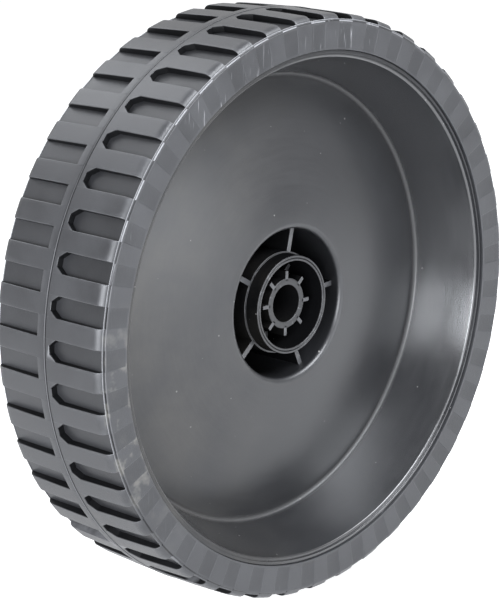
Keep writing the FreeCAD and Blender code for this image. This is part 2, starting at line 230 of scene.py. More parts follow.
class Finishes(bpy.types.PropertyGroup):
    """Colours, gloss, worn places, painted shade and painted highlights."""

    tyre_colour: tint("Tyre", "Tyre compound", (0.016, 0.0163, 0.018))
    tyre_pale: tint("Tyre, pale", "Dry bloom on the tyre compound", (0.024, 0.0245, 0.0265))
    # Also the colour of painted highlights along the tyre's edges, fine ridges and ledges and along the
    # wheel body's edges
    scuff_colour: tint("Scuffs", "Scuffed and rubbed places", (0.30, 0.30, 0.31))
    plastic_colour: tint("Plastic", "Wheel plastic", (0.0095, 0.0098, 0.0108))
    plastic_pale: tint("Plastic, pale", "Paler flow marks in the plastic", (0.014, 0.0143, 0.0155))
    # Also the colour of the painted highlight along the fillet between disc and barrel
    dust_colour: tint("Dust", "Fine dust and specks", (0.16, 0.155, 0.15))
    stain_colour: tint("Stains", "Dry stains on the tyre's sidewall", (0.20, 0.19, 0.165))
    # Colour of a painted warm sheen at the disc's left, where light falls
    film_colour: tint("Film", "Thin film of dust on the disc", (0.16, 0.145, 0.115))
    tyre_rough: share("Tyre roughness", "Roughness of the tyre compound", 0.36)
    bloom_rough: share("Bloom roughness", "Roughness of its pale bloom", 0.46)
    tyre_gloss: share("Tyre gloss", "Specular level of the tyre compound", 0.38)
    gap_gloss: share("Gap gloss", "Specular level in its darkest gaps", 0.05)
    floor_shade: share("Floor shade", "Darkening of the pockets' floors", 0.3)
    recess_shade: share("Recess shade", "Darkening of the sidewall recesses", 0.16)
    wall_shade: share("Wall shade", "Darkening of the pockets' walls", 0.8)
    gap_shade: share("Gap shade", "Darkening of ledges and of the hollows at the ridge", 0.95)
    bevel_shade: share("Bevel shade", "Darkening of the bevels at the sidewalls' edges", 0.6)
    disc_rough: share("Disc roughness", "Roughness of the disc and the hub", 0.33)
    barrel_rough: share("Barrel roughness", "Roughness of the barrel and the lips", 0.20)
    disc_gloss: share("Disc gloss", "Specular level of the disc and the hub", 0.41)
    barrel_gloss: share("Barrel gloss", "Specular level of the barrel and the lips", 0.8)
    dulling: share("Dulling", "Specular level that dull places lose", 0.42)
    hub_shade: share("Hub shade", "Darkening of the walls in the hub's depth", 0.8)
    # How much the painted sheen lightens the disc's left
    film: share("Film amount", "Most of the film at the disc's left", 0.1)
    # Painted highlight along the fillet between disc and barrel
    fillet_dust: share("Fillet dust", "Dust along the fillet between disc and barrel", 0.09)
    # Paler edges of the tyre, partly worn and partly painted edge highlights
    edge_wear: share("Edge wear", "Paler rubbed edges of the tyre", 0.30)
    # Painted highlight along the sidewalls' outer edges
    rim_wear: share("Rim wear", "Rubbing along the sidewalls' outer edges", 0.105)
    # Painted highlight on the fine ridges and ledges
    lip_wear: share("Lip wear", "Rubbing of the fine ridges and ledges", 0.54)
    # Paler edges of the wheel body, partly worn and partly painted edge highlights
    body_wear: share("Body wear", "Paler rubbed edges of the wheel body", 0.18)
    staining: share("Staining", "Dry stains on the tyre's sidewall", 0.3)
    scuffing: share("Scuffing", "Scuffs and scratches", 0.36)


class StageSettings(bpy.types.PropertyGroup):
    """Camera, floor and light."""

    camera_place: bpy.props.FloatVectorProperty(
        name="Camera place", description="Where the camera stands", size=3,
        default=(-0.5436, -0.5216, 0.1893), subtype="TRANSLATION", unit="LENGTH")
    camera_azimuth: angle("Camera azimuth", "Turn of the view round the wheel", -45.76)
    camera_elevation: angle("Camera elevation", "Tilt of the view", 14.14)
    lens: bpy.props.FloatProperty(
        name="Lens", description="Focal length in millimetres on a 36 mm sensor", default=134.1)
    floor_colour: tint("Floor", "Pale floor", (0.60, 0.60, 0.60))
    floor_glow: share("Floor glow", "Light of the floor as it is looked at", 0.85)
    ambient: share("Ambient", "Soft light from all round", 0.10)
    lamp_tint: tint("Lamp tint", "Colour of the lamps", (0.92, 0.95, 1.0))
    front_power: power("Front", "Low soft lamp in front of the dish", 6.0)
    floor_lamp_power: power("Floor lamp", "Lamp over the floor in front", 24.0)
    overhead_power: power("Overhead", "Soft lamp above, a little in front", 9.0)
    key_power: power("Key", "Small lamp that draws glints along the edges", 4.0)
    back_power: power("Back", "Large soft lamp above and behind", 12.0)
    side_power: power("Side", "Low soft lamp at the left", 19.0)


# Mesh tools


def polar(radius, y, turn):
    """A point at a radius, a place along the axle and a turn from the top, seen from the outer side."""
    return Vector((-radius * math.sin(turn), y, radius * math.cos(turn)))


def eased_line(corners, closed=False):
    """Points along a line of (radius, y, rounding) corners, with an arc at each rounded corner."""
    points = []
    last = len(corners) - 1
    for index, (radius, y, rounding) in enumerate(corners):
        here = Vector((radius, y))
        if rounding <= 0 or (not closed and index in (0, last)):
            points.append(here)
            continue
        back = Vector(corners[index - 1][:2]) - here
        ahead = Vector(corners[(index + 1) % len(corners)][:2]) - here
        half_bend = back.angle(ahead) / 2
        reach = min(rounding / math.tan(half_bend), ARC_SHARE * back.length, ARC_SHARE * ahead.length)
        arc_radius = reach * math.tan(half_bend)
        back.normalize()
        ahead.normalize()
        centre = here + (back + ahead).normalized() * (arc_radius / math.sin(half_bend))
        start = here + back * reach - centre
        end = here + ahead * reach - centre
        sweep = start.angle_signed(end)
        steps = max(2, math.ceil(abs(sweep) / ARC_STEP))
        for step in range(steps + 1):
            points.append(centre + Matrix.Rotation(-sweep * step / steps, 2) @ start)
    return points


def lathe(bm, line, steps):
    """Turn a closed line once round the axle."""
    rings = []
    for step in range(steps):
        turn = math.tau * step / steps
        rings.append([bm.verts.new(polar(point.x, point.y, turn)) for point in line])
    for step, ring in enumerate(rings):
        following = rings[(step + 1) % steps]
        for index in range(len(line)):
            ahead = (index + 1) % len(line)
            bm.faces.new((ring[index], ring[ahead], following[ahead], following[index]))


def add_plate(bm, corners, thickness, turn, rounding):
    """A flat plate with its (radius, y) outline in a plane through the axle, and rounded edges."""
    across = Vector((math.cos(turn), 0, math.sin(turn))) * (thickness / 2)
    sides = []
    for side in (-1, 1):
        sides.append([bm.verts.new(polar(radius, y, turn) + across * side) for radius, y in corners])
    faces = [bm.faces.new(sides[0]), bm.faces.new(list(reversed(sides[1])))]
    for index in range(len(corners)):
        ahead = (index + 1) % len(corners)
        faces.append(bm.faces.new((sides[0][ahead], sides[0][index], sides[1][index], sides[1][ahead])))
    edges = {edge for face in faces for edge in face.edges}
    bmesh.ops.bevel(bm, geom=list(edges), offset=rounding, segments=2, profile=0.5, affect="EDGES")


def finish_mesh(bm, name):
    """A smooth object from a mesh, with sharp edges kept."""
    bmesh.ops.remove_doubles(bm, verts=bm.verts, dist=JOIN_DISTANCE)
    bmesh.ops.recalc_face_normals(bm, faces=bm.faces)
    mesh = bpy.data.meshes.new(name)
    bm.to_mesh(mesh)
    bm.free()
    mesh.shade_smooth()
    mesh.set_sharp_from_angle(angle=SHARP_TURN)
    piece = bpy.data.objects.new(name, mesh)
    bpy.context.scene.collection.objects.link(piece)
    flat = piece.modifiers.new("Flat faces", "WEIGHTED_NORMAL")
    flat.keep_sharp = True
    return piece


# Tyre


def edge_arc(rounding, y):
    """Places that round a pocket's end edge: (drop below the tread, y) pairs."""
    return [(rounding * (1 - math.sin(turn)), y - rounding * (1 - math.cos(turn))) for turn in EDGE_TURNS]


def sidewall_line(s, sunk):
    """From the rim's mouth out to the sidewall's outer edge; y is counted outwards from the middle."""
    edge = s.tread_radius - s.edge_drop

    def face(radius):
        return s.half_width + s.rise * (edge - radius) / (edge - s.seat_radius)

    inner = s.seat_radius + s.panel_margin
    outer = edge - s.edge_margin
    lean = RECESS_SLOPE * s.panel_step
    bevel_end = (edge + s.edge_bevel, s.half_width - s.edge_bevel, 0)
    return eased_line([
        (s.seat_radius, s.seat_y, 0), (s.seat_radius, face(s.seat_radius), s.mouth_round),
        (inner, face(inner), 0), (inner + lean, face(inner + lean) - sunk, 0),
        (outer - lean, face(outer - lean) - sunk, 0), (outer, face(outer), 0),
        (edge, s.half_width, s.edge_round), bevel_end])[1:-1]


def tread_height(s, y):
    """Radius of the crowned tread at a place across it."""
    return s.tread_radius - s.crown * (y / (s.half_width - s.shoulder)) ** 2


def tread_line(s, end_y):
    """From the sidewall's edge bevel over the rounded shoulder and along the tread to a pocket's end."""
    low = Vector((s.tread_radius - s.edge_drop + s.edge_bevel, s.half_width - s.edge_bevel))
    crown_y = s.half_width - s.shoulder
    high = Vector((tread_height(s, crown_y), crown_y))
    # The shoulder curves from low to high, drawn towards this corner
    corner = Vector((high.x, s.half_width - 2 * s.edge_bevel))
    line = []
    for step in range(SHOULDER_STEPS + 1):
        t = step / SHOULDER_STEPS
        line.append(low * (1 - t) ** 2 + corner * (2 * t * (1 - t)) + high * t ** 2)
    for step in range(1, CROWN_STEPS + 1):
        y = crown_y + (end_y - crown_y) * step / CROWN_STEPS
        line.append(Vector((tread_height(s, y), y)))
    return line


def pocket_line(s, sunk, end_y):
    """Half a section through a pocket, with a fine ridge and a ledge at its open end."""
    floor = s.tread_radius - s.pocket_depth
    tread = tread_line(s, end_y)
    line = sidewall_line(s, sunk)
    line.append(Vector((s.tread_radius - s.edge_drop + s.ledge_rise, s.half_width - s.ledge)))
    line.append(Vector((floor + s.pocket_lip, tread[1].y)))
    line += [Vector((floor, point.y)) for point in tread[2:]]
    for drop, y in edge_arc(s.block_round, end_y):
        line.append(Vector((tread_height(s, y) - drop, y)))
    return line


def block_line(s, inset, end_y):
    """Half a section through a block, sunk by inset where its long edges are rounded."""
    line = sidewall_line(s, 0)
    tread = tread_line(s, end_y)
    for point in tread:
        # The inset fades out towards the edge bevel, where blocks and pockets meet
        fade = min(1, (point.x - tread[0].x) / (2 * s.block_round))
        line.append(Vector((point.x - inset * fade, point.y)))
    for drop, y in edge_arc(s.block_round, end_y):
        line.append(Vector((tread_height(s, y) - drop * inset / s.block_round, y)))
    return line


def tread_column(s, outer, inner):
    """A whole closed section from an outer and an inner half."""
    ridge = s.tread_radius + s.ridge_height
    hollow = s.tread_radius - s.ridge_sink
    crown = [(s.tread_radius, -s.ridge_reach), (hollow, -s.ridge_foot), (ridge, -s.ridge_top),
             (ridge, s.ridge_top), (hollow, s.ridge_foot), (s.tread_radius, s.ridge_reach)]
    inside = [(s.seat_radius, s.seat_y), (s.waist_radius, s.waist_y), (s.waist_radius, -s.waist_y),
              (s.seat_radius, -s.seat_y)]
    column = [Vector((point.x, -point.y)) for point in outer]
    column += [Vector(place) for place in crown]
    column += list(reversed(inner))
    return column + [Vector(place) for place in inside]


def pitch_stations(s):
    """Turns across half a pitch with the inset of a block and the share of a recess's depth at each."""
    half = s.pocket_angle / 2
    lean = s.block_round / s.tread_radius
    tip = s.tip_flat / 2 / s.tread_radius
    edge = [(lean * (1 - math.cos(turn)), s.block_round * (1 - math.sin(turn)), depth)
            for turn, depth in zip(EDGE_TURNS, EDGE_DEPTHS)]
    left = [(-half + offset, inset, depth) for offset, inset, depth in edge]
    right = [(half - offset, inset, depth) for offset, inset, depth in reversed(edge)]
    return left + [(-tip, 0, 1), (tip, 0, 1)] + right


def pitch_columns(s):
    """Turns and sections across one pitch: an outer pocket beside an inner block, then the reverse."""
    half = s.pocket_angle / 2
    tip = s.tip_flat / 2 / s.tread_radius
    shoulder_y = s.tip_gap + s.tip_length
    pockets, blocks = [], []
    for offset, inset, depth in pitch_stations(s):
        sunk = s.panel_step * depth
        taper = min(1, (half - abs(offset)) / (half - tip))
        pocket = pocket_line(s, sunk, shoulder_y - s.tip_length * taper)
        pockets.append((offset, tread_column(s, pocket, block_line(s, inset, s.slot_gap))))
        slot = pocket_line(s, sunk, s.slot_gap)
        block = tread_column(s, block_line(s, inset, shoulder_y), slot)
        blocks.append((offset + math.pi / s.block_count, block))
    return pockets + blocks


def build_tyre(s):
    """Two staggered rows of tread blocks, one column of points after another."""
    bm = bmesh.new()
    columns = pitch_columns(s)
    strips = []
    for number in range(s.block_count):
        turn = s.phase + math.tau * number / s.block_count
        for offset, line in columns:
            strips.append([polar(point.x, point.y, turn + offset) for point in line])
    known = {}
    for left, right in zip(strips, strips[1:] + strips[:1]):
        for index in range(len(left)):
            ahead = (index + 1) % len(left)
            add_face(bm, known, (left[index], left[ahead], right[ahead], right[index]))
    return finish_mesh(bm, "tyre_tread")


def add_face(bm, known, places):
    """A face through places, with places that meet made one; a face that shrinks away is left out."""
    verts = []
    for place in places:
        key = tuple(round(number / JOIN_DISTANCE) for number in place)
        if key not in known:
            known[key] = bm.verts.new(place)
        if known[key] not in verts:
            verts.append(known[key])
    if len(verts) > 2:
        bm.faces.new(verts)


# Wheel body


def dome_y(s, radius, thickness):
    """Place of the disc's surface at a radius."""
    centre = s.recess_y + math.sqrt(s.dome_radius ** 2 - s.dome_start ** 2)
    return centre - math.sqrt((s.dome_radius - thickness) ** 2 - radius ** 2)


def disc_line(s, start, end, thickness):
    """Points between two radii of the disc's surface."""
    radii = [start + (end - start) * step / DISC_STEPS for step in range(DISC_STEPS + 1)]
    return [(radius, dome_y(s, radius, thickness), 0) for radius in radii]


def tube_end(s):
    """Corners of the hub tube's outer end, with a fine groove in it."""
    inner = s.tube_radius - s.tube_wall
    middle = s.tube_radius - s.tube_wall / 2
    half_groove = s.tube_wall / 8
    return [(inner, s.tube_y, s.tube_round), (middle - half_groove, s.tube_y, s.groove_round),
            (middle, s.tube_y + s.tube_groove, 0), (middle + half_groove, s.tube_y, s.groove_round),
            (s.tube_radius, s.tube_y, s.tube_round)]


def wheel_line(s):
    """The closed section of the wheel body, from the bore round to the bore."""
    mouth = s.rim_radius - s.lip_wall
    tube_inner = s.tube_radius - s.tube_wall
    foot = s.barrel_radius
    step_y = s.step_depth - s.lip_y
    fine = s.fine_round
    # The disc's own points keep clear of the roundings at its edges
    clear = 6 * MM
    front = disc_line(s, s.recess_radius + clear, foot - clear, 0)
    back = disc_line(s, foot - clear, s.sleeve_radius + clear, s.disc_thickness)
    corners = [
        (s.bore_radius, s.bush_y, s.bore_round), (s.bush_radius, s.bush_y, s.bush_round),
        (s.bush_radius, s.floor_y, fine), (tube_inner, s.floor_y, fine), *tube_end(s),
        (s.tube_radius, s.rib_y, s.collar_round), (s.collar_radius, s.rib_y, fine),
        (s.collar_radius, s.floor_y, fine), (s.recess_radius, s.floor_y, fine),
        (s.recess_radius, dome_y(s, s.recess_radius, 0), s.recess_round), *front,
        (foot, dome_y(s, foot, 0), s.barrel_round),
        (mouth, step_y, s.lip_round), (s.step_radius, step_y, s.step_foot),
        (s.step_radius, -s.lip_y, s.step_round), (s.rim_radius, -s.lip_y, s.step_round),
        (s.rim_radius, -s.seat_y, 0), (s.waist_radius, -s.waist_y, 0),
        (s.waist_radius, s.waist_y, 0), (s.rim_radius, s.seat_y, 0),
        (s.rim_radius, s.lip_y, fine), (mouth, s.lip_y, s.lip_round),
        (foot, dome_y(s, foot, s.disc_thickness), s.barrel_round), *back,
        (s.sleeve_radius, dome_y(s, s.sleeve_radius, s.disc_thickness), s.sleeve_round),
        (s.sleeve_radius, s.hub_face_y, s.hub_round), (s.tube_radius, s.hub_face_y, s.boss_round),
        (s.tube_radius, s.boss_y, s.boss_round), (s.bore_radius, s.boss_y, s.bore_round)]
    return eased_line(corners, closed=True)


def bar(inner, outer, top, bottom):
    """Corners of a plain rib."""
    return [(inner, top), (outer, top), (outer, bottom), (inner, bottom)]


def build_wheel_body(s):
    """Rim, disc and hub turned as one, with ribs and fins set into them."""
    bm = bmesh.new()
    lathe(bm, wheel_line(s), ROUND_STEPS)
    bottom = s.floor_y + s.floor_root
    tube_middle = s.tube_radius - s.tube_wall / 2
    bush_middle = (s.bore_radius + s.bush_radius) / 2
    for number in range(s.rib_count):
        turn = s.rib_phase + math.tau * number / s.rib_count
        rib = bar(tube_middle, s.recess_radius + s.rib_root, s.rib_y, bottom)
        add_plate(bm, rib, s.rib_thickness, turn, s.rib_round)
    for number in range(s.fin_count):
        turn = s.fin_phase + math.tau * number / s.fin_count
        fin = bar(bush_middle, s.fin_tip, s.bush_y, bottom)
        add_plate(bm, fin, s.fin_thickness, turn, s.fine_round)
        web = bar(bush_middle, tube_middle, s.bush_y + s.fin_web_drop, bottom)
        add_plate(bm, web, s.fin_thickness * WEB_SHARE, turn, s.fin_web_round)
    hub = (s.recess_radius + s.sleeve_radius) / 2
    barrel = (s.barrel_radius + s.waist_radius) / 2
    sink = s.disc_thickness / 4
    edge_y = dome_y(s, s.barrel_radius - s.barrel_round, 0)
    gusset = [(hub, s.recess_y + sink), (barrel, edge_y + sink),
              (barrel, edge_y + s.disc_thickness + s.back_rib_foot),
              (hub, s.recess_y + s.disc_thickness + s.back_rib_rise)]
    for number in range(s.back_rib_count):
        turn = s.rib_phase + math.tau * number / s.back_rib_count
        add_plate(bm, gusset, s.back_rib_thickness, turn, s.back_rib_round)
    return finish_mesh(bm, "wheel_moulding")


# Materials

BLACK = (0, 0, 0, 1)
WHITE = (1, 1, 1, 1)

# Heights on the standing wheel, and places across it, between which worn places, stains, scuffs, painted
# shade, painted highlights and the painted sheen set in
UPPER_PART = (0.02, 0.045)
ABOVE_FOOT = (-0.055, -0.02)
RIDGE_END = (0.06, 0.03)
STAIN_TOP = (0.02, -0.01)
STAIN_FOOT = (-0.055, -0.035)
STAIN_SIDE = (-0.06, -0.08)
SCUFF_RISE = (0.02, 0.08)
SHEEN_SIDE = (0.01, -0.075)
LIP_SIDE = (0.01, -0.03)
STEP_RISE = (-0.06, -0.02)

# Turns of the scratches, and how far scratches and flow marks are drawn out
SCRATCH_TURNS = (0.25, -0.5, 1.15)
SCRATCH_DRAW = 0.08
FLOW_DRAW = 0.12


class Wiring:
    """Adds and links the nodes of one tree."""

    def __init__(self, tree):
        self.tree = tree

    def add(self, kind, inputs=None, **settings):
        """A node with its settings, and with a value or a link in each socket named."""
        node = self.tree.nodes.new(kind)
        for label, value in settings.items():
            setattr(node, label, value)
        for label, value in (inputs or {}).items():
            self.feed(node.inputs[label], value)
        return node

    def feed(self, socket, value):
        """Link a socket, or set its value."""
        if isinstance(value, bpy.types.NodeSocket):
            self.tree.links.new(value, socket)
        else:
            socket.default_value = value

    def group(self, tree, **inputs):
        """The outputs of a node group that is placed with its values."""
        return self.add("ShaderNodeGroup", inputs, node_tree=tree).outputs

    def put_out(self, values):
        """Give a node group its output sockets, each with what it puts out."""
        for label, value in values.items():
            kind = "NodeSocketVector" if value.type == "VECTOR" else "NodeSocketFloat"
            self.tree.interface.new_socket(name=label, in_out="OUTPUT", socket_type=kind)
        self.add("NodeGroupOutput", values)

    def maths(self, operation, *values):
        """One step of arithmetic."""
        return self.add("ShaderNodeMath", dict(enumerate(values)), operation=operation).outputs[0]

    def chain(self, operation, first, *others):
        """The same step for one value after another."""
        for other in others:
            first = self.maths(operation, first, other)
        return first

    def times(self, *values):
        """Masks where all of them are, or values multiplied."""
        return self.chain("MULTIPLY", *values)

    def total(self, *values):
        """Values added up."""
        return self.chain("ADD", *values)

    def most(self, *values):
        """Masks where any of them is."""
        return self.chain("MAXIMUM", *values)

    def split(self, vector):
        """The three parts of a vector."""
        parts = self.add("ShaderNodeSeparateXYZ", {0: vector}).outputs
        return parts[0], parts[1], parts[2]

    def span(self, value, low, high, to_low=0.0, to_high=1.0):
        """A value that runs from one level to another between two limits."""
        node = self.add("ShaderNodeMapRange", {
            "Value": value, "From Min": low, "From Max": high, "To Min": to_low, "To Max": to_high})
        return node.outputs[0]

    def level(self, mask, none, full):
        """A level for where a mask is not and one for where it is."""
        return self.span(mask, 0.0, 1.0, none, full)

    def without(self, mask):
        """The reverse of a mask."""
        return self.level(mask, 1.0, 0.0)

    def near(self, value, place, far, close):
        """A mask of values close to a place."""
        return self.span(self.maths("ABSOLUTE", self.maths("SUBTRACT", value, place)), far, close)

    def band(self, value, low, low_full, high_full, high):
        """A mask that rises at a low limit and falls at a high one."""
        return self.times(self.span(value, low, low_full), self.span(value, high, high_full))

    def blend(self, factor, first, second):
        """A colour between two others."""
        node = self.add("ShaderNodeMix", data_type="RGBA")
        for index, value in ((0, factor), (6, first), (7, second)):
            self.feed(node.inputs[index], value)
        return node.outputs[2]

    def noise(self, vector, scale, detail, roughness):
        """Soft random clouds."""
        node = self.add("ShaderNodeTexNoise", {
            "Vector": vector, "Scale": scale, "Detail": detail, "Roughness": roughness})
        return node.outputs[0]


def new_group(name, **inputs):
    """The wiring of an empty node group, and the sockets that bring in its values."""
    tree = bpy.data.node_groups.new(name, "ShaderNodeTree")
    for label, default in inputs.items():
        socket = tree.interface.new_socket(name=label, in_out="INPUT", socket_type="NodeSocketFloat")
        socket.default_value = default
    wiring = Wiring(tree)
    return wiring, wiring.add("NodeGroupInput").outputs


def made_once(build):
    """Let a function that makes the node group of its own name make it the first time only."""
    def group(*sizes):
        return bpy.data.node_groups.get(build.__name__) or build(*sizes)
    return group


@made_once
def wheel_places():
    """Group: places on the wheel, a vector drawn out round the axle, and the ways a face looks."""
    w, _ = new_group("wheel_places")
    place = w.add("ShaderNodeTexCoord").outputs
    x, y, z = w.split(place["Object"])
    normal_x, normal_y, normal_z = w.split(place["Normal"])
    radius = w.maths("SQRT", w.total(w.times(x, x), w.times(z, z)))
    drawn = w.add("ShaderNodeCombineXYZ", {
        0: w.times(x, FLOW_DRAW), 1: w.total(radius, y), 2: w.times(z, FLOW_DRAW)})
    outwards = w.total(w.times(x, normal_x), w.times(z, normal_z))
    w.put_out({
        "Radius": radius, "Depth": y, "Height": z, "Across": x,
        "Place": place["Object"], "Round": drawn.outputs[0],
        "Facing out": w.maths("ABSOLUTE", w.maths("DIVIDE", outwards, radius)),
        "Facing along": w.maths("ABSOLUTE", normal_y)})
    return w.tree


@made_once
def moulded_grain():
    """Group: the fine unevenness of a moulded surface and its broad cloudiness."""
    w, start = new_group("moulded_grain", Grain=2500.0, Cloud=60.0)
    place = w.add("ShaderNodeTexCoord").outputs["Object"]
    fine = w.noise(place, start["Grain"], 4.0, 0.6)
    cells = w.add("ShaderNodeTexVoronoi", {"Vector": place, "Scale": w.times(start["Grain"], 0.55)})
    clouds = w.noise(place, start["Cloud"], 5.0, 0.62)
    w.put_out({
        "Height": w.total(fine, w.times(cells.outputs["Distance"], 0.4)),
        "Clouds": w.span(clouds, 0.34, 0.68)})
    return w.tree


@made_once
def handling_marks():
    """Group: a mask of fine scratches, in patches."""
    w, start = new_group("handling_marks", Fineness=900.0, Amount=0.5, Patches=40.0)
    place = w.add("ShaderNodeTexCoord").outputs["Object"]
    lines = []
    for turn in SCRATCH_TURNS:
        drawn = w.add("ShaderNodeMapping", {
            "Vector": place, "Rotation": (0, turn, 0), "Scale": (1.0, 1.0, SCRATCH_DRAW)})
        lines.append(w.span(w.noise(drawn.outputs[0], start["Fineness"], 2.0, 0.5), 0.68, 0.74))
    patches = w.span(w.noise(place, start["Patches"], 3.0, 0.6), 0.5, 0.62)
    w.put_out({"Scratches": w.times(w.most(*lines), patches, start["Amount"])})
    return w.tree


@made_once
def worn_edges():
    """Group: a mask of paler outer edges, partly worn and partly painted edge highlights."""
    w, start = new_group("worn_edges", Wear=0.5)
    point = w.add("ShaderNodeNewGeometry").outputs["Pointiness"]
    place = w.add("ShaderNodeTexCoord").outputs["Object"]
    broken = w.span(w.noise(place, 220.0, 4.0, 0.65), 0.3, 0.7, 0.35, 1.0)
    w.put_out({"Edges": w.times(w.span(point, 0.515, 0.60), broken, start["Wear"])})
    return w.tree


@made_once
def dust_specks():
    """Group: a mask of sparse tiny specks."""
    w, start = new_group("dust_specks", Fineness=300.0)
    place = w.add("ShaderNodeTexCoord").outputs["Object"]
    cells = w.add("ShaderNodeTexVoronoi", {"Vector": place, "Scale": start["Fineness"]}).outputs
    chance = w.add("ShaderNodeSeparateColor", {0: cells["Color"]}).outputs
    kept = w.maths("GREATER_THAN", chance[0], 0.8)
    inside = w.maths("LESS_THAN", cells["Distance"], w.level(chance[1], 0.03, 0.10))
    w.put_out({"Specks": w.times(kept, inside, chance[2])})
    return w.tree


@made_once
def tyre_zones(s):
    """Group: masks of the tyre's hollows and sidewall recesses where shade is painted, of lines where
    highlights are painted, and of plain tread.
    """
    w, _ = new_group("tyre_zones")
    places = w.group(wheel_places())
    radius = places["Radius"]
    away = w.maths("ABSOLUTE", places["Depth"])
    reach = w.total(radius, away)
    floor = s.tread_radius - s.pocket_depth
    edge = s.tread_radius - s.edge_drop
    side = s.half_width
    corner = edge + side
    upper = w.span(places["Height"], *UPPER_PART)
    above_foot = w.span(places["Height"], *ABOVE_FOOT)
    middle = w.times(w.without(upper), above_foot)

    tread = w.span(away, side - 0.9 * MM, side - 1.1 * MM)
    low = w.span(radius, floor + 1.1 * MM, floor + 0.3 * MM)
    outer_row = w.span(places["Depth"], MM, -MM, 0.3, 1.0)
    ledge = w.times(w.span(reach, corner - 0.08 * MM, corner - 0.18 * MM),
                    w.span(radius, edge, edge + 0.05 * MM),
                    w.span(away, side - 0.65 * MM, side - 0.55 * MM))
    seam = w.times(w.span(away, s.ridge_reach, 0.75 * s.ridge_reach),
                   w.span(radius, s.tread_radius, s.tread_radius - 0.5 * s.ridge_sink))
    bevel = w.times(w.near(reach, corner, 0.14 * MM, 0.06 * MM),
                    w.band(away, side - 0.5 * MM, side - 0.42 * MM, side - 0.14 * MM, side - 0.06 * MM))
    face = w.span(radius, s.seat_radius, edge, side + s.rise, side)
    sunk = w.span(w.maths("SUBTRACT", face, away), 0.1 * s.panel_step, 0.9 * s.panel_step)
    on_wall = w.times(w.span(radius, edge, edge - 0.3 * MM),
                      w.span(away, side - 6 * s.panel_step, side - 4 * s.panel_step))
    lip = w.times(
        w.band(radius, floor + 0.08 * MM, floor + 0.16 * MM, floor + 0.26 * MM, floor + 0.32 * MM),
        w.band(away, side - 0.85 * MM, side - 0.78 * MM, side - 0.62 * MM, side - 0.56 * MM))
    ridge = w.times(w.span(away, 2 * s.ridge_top, s.ridge_top),
                    w.span(places["Height"], *RIDGE_END, 0.0, 0.35))
    rim = w.times(w.near(radius, edge, 0.3 * MM, 0.1 * MM), w.span(away, side - 0.5 * MM, side - 0.2 * MM))
    off_ridge = w.span(away, 1.2 * MM, 1.6 * MM)
    w.put_out({
        "Floors": w.times(low, tread, outer_row),
        "Walls": w.times(w.span(places["Facing out"], 0.55, 0.3), tread),
        "Gaps": w.most(w.times(ledge, middle), seam),
        "Bevels": bevel,
        "Recesses": w.times(sunk, on_wall),
        # Painted highlights on the pockets' fine ridges above the foot, on the ledges in the upper part
        # and on the parting ridge low down
        "Lips": w.most(w.times(lip, above_foot), w.times(ledge, upper), ridge),
        # Painted highlight along the sidewalls' outer edges, between the upper part and the foot
        "Rims": w.times(rim, middle),
        "Tread": w.times(off_ridge, w.span(radius, edge + 0.2 * MM, edge + 0.5 * MM))})
    return w.tree


def new_material(name):
    """A material with its wiring and its Principled BSDF."""
    material = bpy.data.materials.new(name)
    material.use_nodes = True
    wiring = Wiring(material.node_tree)
    return material, wiring, material.node_tree.nodes["Principled BSDF"]


def opaque(colour):
    """A colour as a socket takes it."""
    return (*colour, 1.0)


def tyre_compound(f, s):
    """Dull grey tyre compound with bloom, painted shade in its hollows, edges paler partly worn and partly
    as painted highlights, painted highlights on its fine ridges, ledges and outer edges, scuffs and dry
    stains.
    """
    material, w, shader = new_material("tyre_compound")
    places = w.group(wheel_places())
    zones = w.group(tyre_zones(s))
    grain = w.group(moulded_grain(), Grain=2600.0, Cloud=55.0)
    marks = w.group(handling_marks(), Fineness=1100.0, Amount=f.scuffing, Patches=34.0)
    wear_and_highlight = w.group(worn_edges(), Wear=f.edge_wear)
    height = places["Height"]
    on_side = w.span(places["Depth"], 1.2 * MM - s.half_width, 0.4 * MM - s.half_width)

    # Painted shade: the pockets' floors and walls, the ledges, the hollows beside the parting ridge, the
    # bevels and the sidewall recesses, darkened towards black
    shade = w.most(
        w.total(w.times(zones["Floors"], f.floor_shade), w.times(zones["Recesses"], f.recess_shade)),
        w.times(zones["Walls"], f.wall_shade), w.times(zones["Gaps"], f.gap_shade),
        w.times(zones["Bevels"], f.bevel_shade))
    colour = w.blend(grain["Clouds"], opaque(f.tyre_colour), opaque(f.tyre_pale))
    colour = w.blend(shade, colour, BLACK)
    deep_shade = w.most(zones["Gaps"], zones["Bevels"])
    # Paler towards the scuff colour: worn block edges, partly painted highlights, and painted highlights
    # along the outer edges, fine ridges and ledges
    worn_and_highlit = w.most(w.times(wear_and_highlight["Edges"], zones["Tread"], w.without(deep_shade)),
                    w.times(zones["Rims"], f.rim_wear), w.times(zones["Lips"], f.lip_wear))
    colour = w.blend(worn_and_highlit, colour, opaque(f.scuff_colour))
    smear = w.span(w.noise(places["Place"], 170.0, 3.0, 0.6), 0.48, 0.64, 0.0, f.staining)
    stain = w.times(smear, on_side, w.span(zones["Recesses"], 0.0, 0.5, 1.0, 0.1),
                    w.span(height, *STAIN_TOP), w.span(height, *STAIN_FOOT, 0.15, 1.0),
                    w.span(places["Across"], *STAIN_SIDE))
    colour = w.blend(stain, colour, opaque(f.stain_colour))
    scuffs = w.times(marks["Scratches"], on_side, w.span(height, *SCUFF_RISE, 0.12, 1.0))
    colour = w.blend(scuffs, colour, opaque(f.scuff_colour))
    w.feed(shader.inputs["Base Color"], colour)

    rough = w.level(grain["Clouds"], f.tyre_rough, f.bloom_rough)
    w.feed(shader.inputs["Roughness"], w.total(rough, w.times(scuffs, 0.25)))
    gloss = w.span(shade, 0.0, f.gap_shade, f.tyre_gloss, f.gap_gloss)
    w.feed(shader.inputs["Specular IOR Level"], gloss)
    relief = w.maths("SUBTRACT", grain["Height"], w.times(scuffs, 0.6))
    bump = w.add("ShaderNodeBump", {"Height": relief, "Strength": 0.35, "Distance": 0.12 * MM})
    w.feed(shader.inputs["Normal"], bump.outputs[0])
    return material


